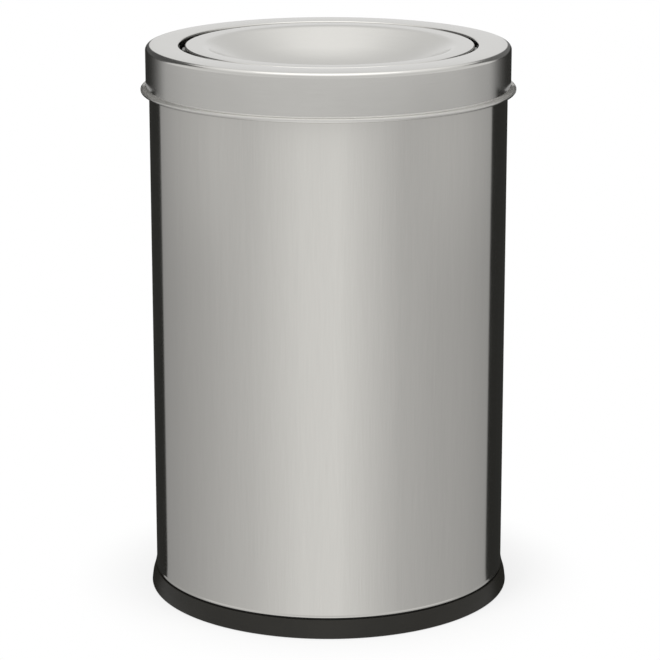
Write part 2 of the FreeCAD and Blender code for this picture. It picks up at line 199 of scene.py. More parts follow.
class BinFinishes(bpy.types.PropertyGroup):
    """Colours and finishes of the bin's materials."""
    shell_colour: colour("Shell colour", (0.60, 0.588, 0.558), "Satin stainless sheet")
    lid_colour: colour("Lid colour", (0.64, 0.630, 0.602), "Semi-bright pressed stainless")
    pan_colour: colour("Pan colour", (0.50, 0.50, 0.485), "Mill-finish stainless")
    ring_colour: colour("Ring colour", (0.0150, 0.0138, 0.0108), "Black base moulding")
    bucket_colour: colour("Bucket colour", (0.030, 0.030, 0.031), "Black bucket moulding")
    nylon_colour: colour("Nylon colour", (0.03, 0.03, 0.03), "Black nylon")
    zinc_colour: colour("Zinc colour", (0.18, 0.18, 0.175), "Dull zinc plating")
    weight_colour: colour("Weight colour", (0.26, 0.26, 0.255), "Turned steel, dull zinc")
    shell_gloss: share("Shell roughness", 0.11, "Roughness of the shell")
    lid_gloss: share("Lid roughness", 0.16, "Roughness of the lid and the flap")


class BinStudio(bpy.types.PropertyGroup):
    """The studio's camera, floor and lights."""
    camera_distance: length("Camera distance", 2.280, "In front of the bin's middle")
    camera_height: length("Camera height", 0.8275, "Above the floor")
    camera_side: length("Camera side", 0.0012, "To the right of the bin's middle")
    camera_pitch: angle("Camera pitch", 14.857, "Downward tilt")
    camera_roll: angle("Camera roll", -0.034, "Turn about the line of sight")
    lens: number("Lens", 150.2, "Focal length in millimetres for a 36 mm sensor", 10, 400)
    floor_size: length("Floor", 14.0, "Side of the square floor")
    tent_radius: length("Tent radius", 0.9, "Radius of the reflection tent")
    tent_level: share("Tent level", 0.84, "Brightness of the tent behind the lid")
    tent_middle: share("Tent middle", 0.78, "Brightness of the tent higher up")
    tent_top: number("Tent top", 1.16, "Brightness of the tent's top", 0, 4)
    flag_left: length("Left flag", 0.045, "Width of the dark card at the shell's left")
    flag_right: length("Right flag", 0.071, "Width of the dark card at the shell's right")
    flag_drop: length("Flag drop", 0.05, "The shell's cards reach this far below the floor")
    flag_top: length("Flag top", 0.002, "The shell's cards end this far below the lid")
    lid_flag_lift: length("Lid flag lift", 0.003, "The lid's cards start this far above the bead")
    lid_flag_slant: number("Lid flag slant", 0.28, "Slope of the lid cards' lower edges", 0, 2)
    lid_flag_left: length("Left lid flag", 0.110, "Width of the soft dark card at the lid's left")
    lid_flag_right: length("Right lid flag", 0.125, "Width of the soft dark card at the lid's right")
    soft_box: length("Soft box", 0.7, "Radius of the bright card overhead")
    soft_box_height: length("Soft box height", 1.9, "Height of the bright card overhead")
    soft_box_glow: number("Soft box brightness", 1.7, "Brightness of the card overhead", 0, 4)


def clear_selection():
    """Back to object mode with nothing selected, the CAD nodes too."""
    if bpy.context.object and bpy.context.object.mode != "OBJECT":
        bpy.ops.object.mode_set(mode="OBJECT")
    bpy.ops.object.select_all(action="DESELECT")


def take(piece):
    """Selects one piece alone and makes it the active one."""
    clear_selection()
    piece.select_set(True)
    bpy.context.view_layer.objects.active = piece


def rounded(corners, closed=False):
    """Points of a path through corners (across, up, bend), with each bend drawn as an arc."""
    spots = [Vector(corner[:2]) for corner in corners]
    count = len(corners)
    points = []
    for i, here in enumerate(spots):
        bend = corners[i][2]
        if bend == 0 or (not closed and i in (0, count - 1)):
            points.append(here)
            continue
        back = (spots[i - 1] - here).normalized()
        ahead = (spots[(i + 1) % count] - here).normalized()
        half = back.angle(ahead) / 2
        middle = here + (back + ahead).normalized() * (bend / math.sin(half))
        start = here + back * (bend / math.tan(half)) - middle
        turn = math.copysign(math.pi - 2 * half, back.y * ahead.x - back.x * ahead.y)
        steps = max(3, math.ceil(abs(turn) / ARC_STEP))
        for k in range(steps + 1):
            points.append(middle + Matrix.Rotation(turn * k / steps, 2) @ start)
    return points


def moved_path(path, distance):
    """An open path moved sideways, to its left for a positive distance, with the same centres."""
    spots = [Vector(corner[:2]) for corner in path]
    steps = [(b - a).normalized() for a, b in zip(spots, spots[1:])]
    sides = [Vector((-step.y, step.x)) for step in steps]
    moved = []
    for i, here in enumerate(spots):
        bend = path[i][2]
        before = max(i - 1, 0)
        after = min(i, len(steps) - 1)
        mitre = (sides[before] + sides[after]) / (1 + sides[before].dot(sides[after]))
        turn = steps[before].cross(steps[after])
        new_bend = bend - math.copysign(distance, turn * distance) if bend else 0
        spot = here + mitre * distance
        moved.append((spot.x, spot.y, new_bend))
    return moved


def draw_outline(name, points):
    """A closed outline in the XZ plane, drawn by extruding one vertex from point to point."""
    clear_selection()
    bpy.ops.mesh.primitive_plane_add(size=1, location=(0, 0, 0), enter_editmode=True)
    bpy.ops.mesh.select_mode(type="VERT")
    bpy.ops.mesh.select_all(action="SELECT")
    bpy.ops.mesh.merge(type="CENTER")
    bpy.ops.transform.translate(value=(points[0].x, 0, points[0].y))
    for here, there in zip(points, points[1:] + points[:1]):
        step = (there.x - here.x, 0, there.y - here.y)
        bpy.ops.mesh.extrude_region_move(TRANSFORM_OT_translate={"value": step})
    bpy.ops.mesh.select_all(action="SELECT")
    bpy.ops.mesh.remove_doubles(threshold=WELD)
    piece = bpy.context.object
    piece.name = name
    piece.data.name = name
    return piece


def spin_outline(name, points, steps=SPIN_STEPS):
    """A closed outline turned once round the Z axis."""
    piece = draw_outline(name, points)
    bpy.ops.mesh.spin(steps=steps, angle=2 * math.pi, center=(0, 0, 0), axis=AXIS_Z)
    bpy.ops.mesh.select_all(action="SELECT")
    bpy.ops.mesh.remove_doubles(threshold=WELD)
    bpy.ops.mesh.normals_make_consistent()
    bpy.ops.object.mode_set(mode="OBJECT")
    return piece


def spin_sheet(name, path, gauge):
    """Sheet of one gauge along an open path, on its left for a positive gauge, turned round Z."""
    return spin_outline(name, rounded(path) + rounded(moved_path(path, gauge))[::-1])


def spread_round(piece, count):
    """Copies a piece's mesh evenly round the Z axis into one piece."""
    name = piece.name
    copies = []
    for k in range(count):
        take(piece)
        bpy.ops.object.duplicate()
        copy = bpy.context.object
        copy.data.transform(Matrix.Rotation(FIRST_RIB + 2 * math.pi * k / count, 4, "Z"))
        copies.append(copy)
    take(copies[0])
    for copy in copies[1:]:
        copy.select_set(True)
    bpy.ops.object.join()
    piece.data = copies[0].data
    piece.data.name = name
    bpy.data.objects.remove(copies[0])


def cut(piece, cutter):
    """Cuts one piece by another, which is then removed."""
    take(piece)
    bpy.ops.object.modifier_add(type="BOOLEAN")
    modifier = piece.modifiers[-1]
    modifier.operation = "DIFFERENCE"
    modifier.object = cutter
    modifier.solver = "EXACT"
    bpy.ops.object.modifier_apply(modifier=modifier.name)
    bpy.data.objects.remove(cutter)


def smooth(piece):
    """Smooth shading with the sharp bends kept."""
    take(piece)
    bpy.ops.object.shade_smooth_by_angle(angle=SMOOTH_ANGLE)
    bpy.ops.object.transform_apply()


def wear(piece, finish):
    """Gives a piece one finish."""
    piece.data.materials.clear()
    piece.data.materials.append(finish_of(finish))


def settle(piece, body, slot, finish, *nodes):
    """Shades a piece, gives it its finish and seats it on its body in place of its nodes."""
    smooth(piece)
    wear(piece, finish)
    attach(piece, body)
    if nodes:
        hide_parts(*nodes)


def new_material(name, kind="ShaderNodeBsdfPrincipled"):
    """A new material, its nodes and its shader."""
    material = bpy.data.materials.new(name)
    material.use_nodes = True
    tree = material.node_tree
    tree.nodes.clear()
    output = tree.nodes.new("ShaderNodeOutputMaterial")
    shader = tree.nodes.new(kind)
    tree.links.new(shader.outputs[0], output.inputs["Surface"])
    return material, tree, shader


def feed(tree, node, inputs):
    """Gives a node's inputs their sockets or plain values."""
    for key, value in inputs.items():
        if isinstance(value, bpy.types.NodeSocket):
            tree.links.new(value, node.inputs[key])
        else:
            node.inputs[key].default_value = value


def add_node(tree, kind, inputs, output=0, **settings):
    """One output of a new node with these settings and inputs."""
    node = tree.nodes.new(kind)
    for key, value in settings.items():
        setattr(node, key, value)
    feed(tree, node, inputs)
    return node.outputs[output]


def maths(tree, operation, *values):
    """One Math node; its inputs are sockets or numbers."""
    return add_node(tree, "ShaderNodeMath", dict(enumerate(values)), operation=operation)


def times(tree, first, second):
    """A product."""
    return maths(tree, "MULTIPLY", first, second)


def plus(tree, first, second):
    """A sum."""
    return maths(tree, "ADD", first, second)


def rise(tree, value, low, high):
    """A smooth step from 0 at one value to 1 at another."""
    return add_node(tree, "ShaderNodeMapRange", {
        "Value": value, "From Min": low, "From Max": high}, "Result", interpolation_type="SMOOTHSTEP")


def mixed(tree, factor, first, second):
    """A number between two sockets or numbers."""
    return add_node(tree, "ShaderNodeMix", {"Factor": factor, "A": first, "B": second}, "Result")


def from_axis(tree, across, along):
    """The distance from the Z axis."""
    squares = [times(tree, value, value) for value in (across, along)]
    return maths(tree, "SQRT", plus(tree, *squares))


def blended(tree, factor, first, second):
    """Two shaders mixed by a factor, as the material's surface."""
    mix = add_node(tree, "ShaderNodeMixShader", {0: factor, 1: first, 2: second})
    output = next(node for node in tree.nodes if node.type == "OUTPUT_MATERIAL")
    tree.links.new(mix, output.inputs["Surface"])


def noise(tree, vector, scale, detail):
    """One Noise Texture's value, read on a vector."""
    return add_node(tree, "ShaderNodeTexNoise", {
        "Vector": vector, "Scale": scale, "Detail": detail, "Roughness": 0.55}, "Fac")


def spread(tree, value, low, high):
    """A noise value from its middle band, about 0.3 to 0.7, spread to low and high."""
    return add_node(tree, "ShaderNodeMapRange", {
        "Value": value, "From Min": 0.3, "From Max": 0.7, "To Min": low, "To Max": high}, "Result")


def tint(tree, base, value):
    """A colour made lighter or darker by a value near 1."""
    return add_node(tree, "ShaderNodeVectorMath", {0: base, "Scale": value}, "Vector", operation="SCALE")


def bumped(tree, height, distance, strength):
    """A normal with a bump of a height in metres."""
    return add_node(tree, "ShaderNodeBump", {"Strength": strength, "Distance": distance, "Height": height})


def object_place(tree):
    """The Object coordinates, and their X, Y and Z apart."""
    place = tree.nodes.new("ShaderNodeTexCoord").outputs["Object"]
    split = tree.nodes.new("ShaderNodeSeparateXYZ")
    tree.links.new(place, split.inputs[0])
    return place, split.outputs


def joined(tree, across, along, up):
    """A vector from three sockets."""
    return add_node(tree, "ShaderNodeCombineXYZ", {0: across, 1: along, 2: up})


# A pattern's scale along its lines, as a share of its scale across them
GRAIN_STRETCH_SHARE = 0.012
ROLL_STRETCH_SHARE = 0.03
RING_STRETCH_SHARE = 0.02
BAND_FADE = 0.0006  # the dull band on the lid's bead fades over this height
BEAD_DULLING = 0.3  # roughness added in that band
GROOVE_SHADE_FADE = 0.0002  # painted shade in the base ring's groove: the moulding's colour fades to black over this height


def rolled_steel(name, base, roughness, grain):
    """Satin sheet with its grain up and down, faint roll marks and a little waviness."""
    material, tree, shader = new_material(name)
    place, (across, along, up) = object_place(tree)
    fine = joined(tree, across, along, times(tree, up, GRAIN_STRETCH_SHARE))
    fine = noise(tree, fine, scale=2600, detail=2)
    broad = joined(tree, across, along, times(tree, up, ROLL_STRETCH_SHARE))
    broad = noise(tree, broad, scale=120, detail=3)
    cloud = noise(tree, place, scale=9, detail=2)
    shade = times(tree, spread(tree, fine, 1 - 0.035 * grain, 1 + 0.035 * grain),
                  spread(tree, broad, 1 - 0.012 * grain, 1 + 0.012 * grain))
    rough = plus(tree, spread(tree, fine, -0.02 * grain, 0.03 * grain), spread(tree, cloud, -0.01, 0.015))
    feed(tree, shader, {
        "Base Color": tint(tree, base, shade),
        "Roughness": plus(tree, rough, roughness),
        "Metallic": 1.0,
        "Normal": bumped(tree, fine, distance=0.000004, strength=0.35 * grain)})
    return material


def pressed_steel(name, base, roughness, grain=1.0, dull_band=None):
    """Semi-bright pressed sheet with its polishing lines round the axis, duller between two heights."""
    material, tree, shader = new_material(name)
    place, (across, along, up) = object_place(tree)
    section = plus(tree, from_axis(tree, across, along), up)
    rings = [times(tree, value, RING_STRETCH_SHARE) for value in (across, along)]
    rings = joined(tree, section, *rings)
    rings = noise(tree, rings, scale=2200, detail=2)
    cloud = noise(tree, place, scale=14, detail=3)
    shade = times(tree, spread(tree, rings, 1 - 0.03 * grain, 1 + 0.03 * grain),
                  spread(tree, cloud, 0.99, 1.012))
    rough = plus(tree, spread(tree, rings, -0.015 * grain, 0.03 * grain), spread(tree, cloud, -0.015, 0.02))
    rough = plus(tree, rough, roughness)
    if dull_band:
        low, high = dull_band
        dulled = times(tree, rise(tree, up, low, low + BAND_FADE), rise(tree, up, high, high - BAND_FADE))
        rough = maths(tree, "MULTIPLY_ADD", dulled, BEAD_DULLING, rough)
    feed(tree, shader, {
        "Base Color": tint(tree, base, shade),
        "Roughness": rough,
        "Metallic": 1.0,
        "Normal": bumped(tree, rings, distance=0.000003, strength=0.25 * grain)})
    return material


def moulded_plastic(name, base, roughness, grain=1400, specular=0.5, groove_shade_from=None):
    """Moulded plastic with a fine spark-eroded texture and slight flow marks, with painted shade above a
    height: black there, for the shade in a groove.
    """
    material, tree, shader = new_material(name)
    place, axes = object_place(tree)
    spark = noise(tree, place, scale=grain, detail=2)
    flow = noise(tree, place, scale=22, detail=3)
    shade = spread(tree, flow, 0.88, 1.14)
    # Painted shade: above this height the colour goes to black, standing in for the shade in the groove
    # under the shell.
    if groove_shade_from:
        shade = times(tree, shade, rise(tree, axes["Z"], groove_shade_from, groove_shade_from - GROOVE_SHADE_FADE))
    rough = plus(tree, spread(tree, spark, -0.03, 0.05), spread(tree, flow, -0.02, 0.03))
    feed(tree, shader, {
        "Base Color": tint(tree, base, shade),
        "Roughness": plus(tree, rough, roughness),
        "Specular IOR Level": specular,
        "Normal": bumped(tree, spark, distance=0.00003, strength=0.5)})
    return material


def plated_metal(name, base, roughness):
    """Plated or turned metal with fine blotches."""
    material, tree, shader = new_material(name)
    place = object_place(tree)[0]
    blotch = noise(tree, place, scale=260, detail=3)
    fine = noise(tree, place, scale=3000, detail=1)
    feed(tree, shader, {
        "Base Color": tint(tree, base, spread(tree, blotch, 0.9, 1.08)),
        "Roughness": plus(tree, spread(tree, blotch, -0.03, 0.05), roughness),
        "Metallic": 1.0,
        "Normal": bumped(tree, fine, distance=0.000005, strength=0.3)})
    return material


# (what makes the material, its colour, its look)
PLAIN_FINISHES = {
    "pan_steel": (pressed_steel, "pan_colour", {"roughness": 0.3}),
    "bucket_plastic": (moulded_plastic, "bucket_colour", {"roughness": 0.46, "grain": 1000}),
    "nylon": (moulded_plastic, "nylon_colour", {"roughness": 0.4, "grain": 900}),
    "zinc": (plated_metal, "zinc_colour", {"roughness": 0.34}),
    "weight": (plated_metal, "weight_colour", {"roughness": 0.42}),
}


def finish_of(key):
    """A finish's material, made once and then shared."""
    name = "bin_" + key
    if name in bpy.data.materials:
        return bpy.data.materials[name]
    scene = bpy.context.scene
    finishes = scene.bin_finishes
    if key == "shell_steel":
        return rolled_steel(name, finishes.shell_colour, finishes.shell_gloss, grain=0.65)
    if key == "lid_steel":
        lid = scene.bin_lid
        bead_top = LID_TOP - lid.bead_drop
        band = (bead_top - lid.bead_radius, bead_top + lid.neck_round + BAND_FADE / 2)
        return pressed_steel(name, finishes.lid_colour, finishes.lid_gloss, grain=0.45, dull_band=band)
    if key == "ring_plastic":
        # The ring's colour goes black above its lip's top: painted shade in the groove under the shell.
        lip = SHELL_FOOT - scene.bin_base.lip_drop
        return moulded_plastic(name, finishes.ring_colour, roughness=0.34, specular=0.3, groove_shade_from=lip)
    make, base, look = PLAIN_FINISHES[key]
    return make(name, getattr(finishes, base), **look)


class BinShell(bpy.types.Operator):
    """Spin the rolled shell with its folded edges and seam"""
    bl_idname = "bin.shell"
    bl_label = "Rolled shell"

    def execute(self, context):
        s = context.scene.bin_shell
        inner = s.radius - s.gauge
        fold = s.radius - s.hem
        low, high = SHELL_FOOT, SHELL_RIM
        outline = rounded([
            (s.radius + s.toe_out, low, s.toe_round),
            (s.radius + s.toe_out, low + s.toe_edge, s.toe_round),
            (s.radius, low + s.toe_height, s.toe_round),
            (s.radius, low + s.seam_margin, 0),
            (s.radius, high - s.seam_margin, 0),
            (s.radius, high, s.hem_round),
            (fold, high, s.hem_round),
            (fold, high - s.hem_height, 0),
            (inner, high - s.hem_height, 0),
            (inner, low + s.hem_height, 0),
            (fold, low + s.hem_height, 0),
            (fold, low, s.hem_round)], closed=True)
        piece = spin_outline("shell_sheet", outline)
        half_step = math.pi / SPIN_STEPS
        bpy.ops.object.mode_set(mode="EDIT")
        bpy.ops.mesh.select_all(action="SELECT")
        bpy.ops.transform.rotate(value=half_step, orient_axis="Z", center_override=(0, 0, 0))
        bpy.ops.mesh.select_all(action="DESELECT")
        bpy.ops.object.mode_set(mode="OBJECT")
        middle = (low + high) / 2
        for face in piece.data.polygons:
            centre = face.center
            at_back = abs(centre.x) < s.radius * half_step / 2 and centre.y > inner + s.gauge / 2
            face.select = at_back and abs(centre.z - middle) < s.seam_margin
        bpy.ops.object.mode_set(mode="EDIT")
        bpy.ops.mesh.select_mode(type="FACE")
        bpy.ops.mesh.extrude_region_move(TRANSFORM_OT_translate={"value": (0, s.seam_proud, 0)})
        bpy.ops.object.mode_set(mode="OBJECT")
        settle(piece, "housing", "stainless_satin", "shell_steel", "shell")
        return {"FINISHED"}


class BinBaseRing(bpy.types.Operator):
    """Spin the moulded base ring and set its ribs under it"""
    bl_idname = "bin.base_ring"
    bl_label = "Base ring"

    def execute(self, context):
        s = context.scene.bin_base
        shell = context.scene.bin_shell
        radius = shell.radius
        foot = radius + s.foot_flare
        spigot = radius - shell.hem - s.spigot_gap
        spigot_inner = spigot - s.spigot_wall
        web_inner = spigot_inner - s.web_width
        web_top = PAN_FOOT
        web_bottom = web_top - s.web_thick
        outline = rounded([
            (foot - s.foot_land, 0, 0),
            (foot, 0, s.foot_round),
            (radius + s.knee_out, s.knee_height, s.knee_round),
            (radius + s.lip, SHELL_FOOT - s.lip_drop, s.lip_round),
            (radius - s.seat_inset, SHELL_FOOT - s.groove, 0),
            (radius - s.seat_inset, SHELL_FOOT, 0),
            (spigot, SHELL_FOOT, 0),
            (spigot, SPIGOT_TOP - s.spigot_lead, 0),
            (spigot - s.spigot_lead, SPIGOT_TOP, 0),
            (spigot_inner, SPIGOT_TOP, 0),
            (spigot_inner, web_top, 0),
            (web_inner, web_top, 0),
            (web_inner, web_bottom, 0),
            (foot - s.web_start, web_bottom, 0)], closed=True)
        piece = spin_outline("base_moulding", outline)
        settle(piece, "housing", "base_plastic", "ring_plastic", "base_ring")
        rib_height = web_bottom - s.rib_lift
        clear_selection()
        middle = (foot - s.foot_land - s.rib_length / 2, 0, s.rib_lift + rib_height / 2)
        bpy.ops.mesh.primitive_cube_add(size=1, location=middle)
        ribs = context.object
        ribs.name = "base_ribs"
        ribs.scale = (s.rib_length, s.rib_thick, rib_height)
        bpy.ops.object.transform_apply()
        bpy.ops.object.mode_set(mode="EDIT")
        bpy.ops.mesh.select_all(action="SELECT")
        bpy.ops.mesh.bevel(offset=s.rib_thick * RIB_ROUND_SHARE, segments=2, affect="EDGES")
        bpy.ops.object.mode_set(mode="OBJECT")
        spread_round(ribs, s.rib_count)
        settle(ribs, "housing", "base_plastic", "ring_plastic")
        return {"FINISHED"}


class BinPan(bpy.types.Operator):
    """Spin the pressed bottom pan"""
    bl_idname = "bin.pan"
    bl_label = "Bottom pan"

    def execute(self, context):
        s = context.scene.bin_base
        shell = context.scene.bin_shell
        spigot_inner = shell.radius - shell.hem - s.spigot_gap - s.spigot_wall
        panel = spigot_inner - s.web_width - s.panel_inset
        radius = spigot_inner - s.pan_gap
        piece = spin_sheet("pan_pressing", [
            (radius, PAN_FOOT + s.pan_edge, 0),
            (radius, PAN_FOOT, s.pan_edge_round),
            (panel + s.panel_slope, PAN_FOOT, s.panel_round),
            (panel, PAN_FOOT + s.panel_rise, s.panel_round),
            (0, PAN_FOOT + s.panel_rise, 0)], -shell.gauge)
        settle(piece, "housing", "stainless_plain", "pan_steel", "bottom_pan")
        return {"FINISHED"}


class BinBucket(bpy.types.Operator):
    """Spin the lift-out bucket and cut its finger slots"""
    bl_idname = "bin.bucket"
    bl_label = "Inner bucket"

    def execute(self, context):
        s = context.scene.bin_bucket
        shell = context.scene.bin_shell
        outer = shell.radius - shell.hem - s.gap
        inner = outer - s.wall
        lip_inner = shell.radius + s.lip_gap
        lip_outer = lip_inner + s.lip_wall
        neck = SHELL_RIM - s.neck
        floor = BUCKET_FOOT + s.wall
        panel = outer - s.taper - s.foot
        outline = rounded([
            (lip_outer, SHELL_RIM - s.lip_drop, 0),
            (lip_outer, BUCKET_TOP, s.flange_round),
            (inner, BUCKET_TOP, s.mouth_round),
            (inner, neck, 0),
            (inner - s.taper, floor, s.corner - s.wall),
            (panel, floor, 0),
            (panel - s.panel_slope, floor + s.panel_rise, 0),
            (0, floor + s.panel_rise, 0),
            (0, BUCKET_FOOT + s.panel_rise, 0),
            (panel - s.panel_slope, BUCKET_FOOT + s.panel_rise, 0),
            (panel, BUCKET_FOOT, 0),
            (outer - s.taper, BUCKET_FOOT, s.corner),
            (outer, neck, 0),
            (outer, SHELL_RIM, 0),
            (lip_inner, SHELL_RIM, 0),
            (lip_inner, SHELL_RIM - s.lip_drop, 0)], closed=True)
        piece = spin_outline("bucket_moulding", outline)
        top = SHELL_RIM - s.grip_drop
        low = top - s.grip_height
        side = s.grip_width / 2
        end = s.grip_height * SLOT_END_SHARE
        slot = draw_outline("slot_cutter", rounded([
            (-side, low, end), (side, low, end), (side, top, end), (-side, top, end)], closed=True))
        reach = shell.radius * CUTTER_SHARE
        bpy.ops.mesh.edge_face_add()
        bpy.ops.transform.translate(value=(0, -reach, 0))
        bpy.ops.mesh.extrude_region_move(TRANSFORM_OT_translate={"value": (0, 2 * reach, 0)})
        bpy.ops.mesh.select_all(action="SELECT")
        bpy.ops.mesh.normals_make_consistent()
        cut(piece, slot)
        settle(piece, "bucket", "bucket_plastic", "bucket_plastic", "inner_bucket")
        return {"FINISHED"}


class BinLid(bpy.types.Operator):
    """Spin the pressed lid ring: collar, flat, rounded edge, skirt and rolled bead"""
    bl_idname = "bin.lid"
    bl_label = "Lid ring"

    def execute(self, context):
        s = context.scene.bin_lid
        shell = context.scene.bin_shell
        skirt = shell.radius + s.skirt_gap + shell.gauge
        opening = skirt - s.cover_width
        bead_top = LID_TOP - s.bead_drop
        bead_bottom = bead_top - 2 * s.bead_radius
        bead_outer = skirt + s.bead_reach
        bead_inner = bead_outer - 2 * s.bead_radius
        piece = spin_sheet("lid_pressing", [
            (opening, LID_TOP - s.collar_depth, 0),
            (opening, LID_TOP, s.collar_round),
            (skirt, LID_TOP, s.edge_round),
            (skirt, bead_top, s.neck_round),
            (bead_outer, bead_top, s.bead_radius),
            (bead_outer, bead_bottom, s.bead_radius),
            (bead_inner, bead_bottom, s.bead_radius),
            (bead_inner, bead_bottom + s.bead_radius, 0)], -shell.gauge)
        settle(piece, "lid", "stainless_lid", "lid_steel", "lid_ring")
        return {"FINISHED"}


class BinFlap(bpy.types.Operator):
    """Spin the dished flap"""
    bl_idname = "bin.flap"
    bl_label = "Swing flap"

    def execute(self, context):
        s = context.scene.bin_flap
        shell = context.scene.bin_shell
        lid = context.scene.bin_lid
        radius = shell.radius + lid.skirt_gap + shell.gauge - lid.cover_width - s.gap
        start = radius - s.rim_width
        level = FLAP_TOP - s.dish_depth
        piece = spin_sheet("flap_pressing", [
            (radius, FLAP_TOP - s.lip, 0),
            (radius, FLAP_TOP, s.lip_round),
            (start, FLAP_TOP, s.shoulder_round),
            (start - s.dish_slope, level, s.bowl_round),
            (0, level, 0)], shell.gauge)
        piece.data.transform(Matrix.Translation((FLAP_SLIDE, 0, 0)))
        settle(piece, "flap", "stainless_lid", "lid_steel", "flap_dish")
        return {"FINISHED"}


class BinFixings(bpy.types.Operator):
    """Give the bushes, screws, washers, nuts and the counterweight their finishes"""
    bl_idname = "bin.fixings"
    bl_label = "Fixings"

    def execute(self, context):
        finishes = {"nylon": "nylon", "zinc_fastener": "zinc", "weight_steel": "weight"}
        for part in frame["record"]["subparts"]:
            finish = finishes.get(part["material_slot"])
            if finish:
                wear(frame["nodes"][part["node"]], finish)
        return {"FINISHED"}


def gloss_card(name):
    """Makes the new object a card that only reflections see; its nodes and its light."""
    card = bpy.context.object
    card.name = name
    for rays in ("camera", "diffuse", "transmission", "volume_scatter", "shadow"):
        setattr(card, "visible_" + rays, False)
    material, tree, shader = new_material(name, "ShaderNodeEmission")
    card.data.materials.append(material)
    return tree, shader


# What the shell mirrors: (share of the circle from the back by the left, front and right; brightness)
TENT_SHARES = [
    (0.00, 0.35), (0.12, 0.35), (0.28, 0.58), (0.37, 0.73), (0.46, 0.97), (0.515, 1.00), (0.565, 0.83),
    (0.62, 0.65), (0.68, 0.58), (0.75, 0.53), (0.84, 0.41), (0.90, 0.35), (1.00, 0.35)]
# The same for the band that the lid's skirt mirrors
SKIRT_SHARES = [
    (0.00, 0.38), (0.15, 0.40), (0.213, 0.52), (0.266, 0.60), (0.311, 0.64), (0.352, 0.655), (0.428, 0.69),
    (0.50, 0.71), (0.572, 0.66), (0.648, 0.60), (0.734, 0.57), (0.787, 0.47), (0.85, 0.40), (1.00, 0.38)]
# The tent's sides are brighter higher up: their share from the front, how much, where it fades out
SIDE_SHARE = 0.25
SIDE_LIFT_SHARE = 0.15
SIDE_FADE_SHARES = (0.13, 0.04)
# Heights on the tent between which one part passes into the next
SIDE_BAND = (0.07, 0.26)  # the sides grow brighter
SKIRT_BAND = (0.284, 0.302)  # from what the shell mirrors to what the skirt mirrors
LID_BAND = (0.38, 0.44)  # from there to what the lid's edge and top mirror
MIDDLE_BAND = (0.62, 0.80)  # from tent_level to tent_middle
TOP_BAND = (0.85, 2.00)  # from there to tent_top
# Dark patches mirrored in the lid's edge: (share of the circle at the patch's edge towards the back, at
# its middle, height, half the width, half the height, slant, darkness)
PATCHES = [
    (0.043, 0.128, 0.83, 0.090, 0.43, 0.08, 0.88),
    (0.957, 0.885, 0.70, 0.075, 0.40, -0.08, 0.80)]
PATCH_FADE_SHARES = (1.1, 0.85)  # a patch fades between these shares of its half sizes
PATCH_EDGE_SHARE = 0.004  # and over twice this share towards the back
SOFT_BOX_FRONT = 0.1  # the card overhead hangs this far forward
CARD_GAP = 0.0006  # from the steel to a card beside it, and between the two kinds of card
CARD_EDGE = 0.001  # a slanted edge fades over this height
SHELL_CARD_SHARE = 0.92  # the shell's cards are firm up to this share of their width
LID_CARD_SHARE = 0.1  # and the lid's up to this one
FLOOR_DROP = 0.0002  # the floor lies this far under the bin
FLOOR_FADE = (0.152, 0.235)  # the floor fades to white between these radii
FLOOR_WHITE_SHARE = 0.72  # of white where the fade starts
WORLD_LEVEL = 0.65  # the world's light on the object


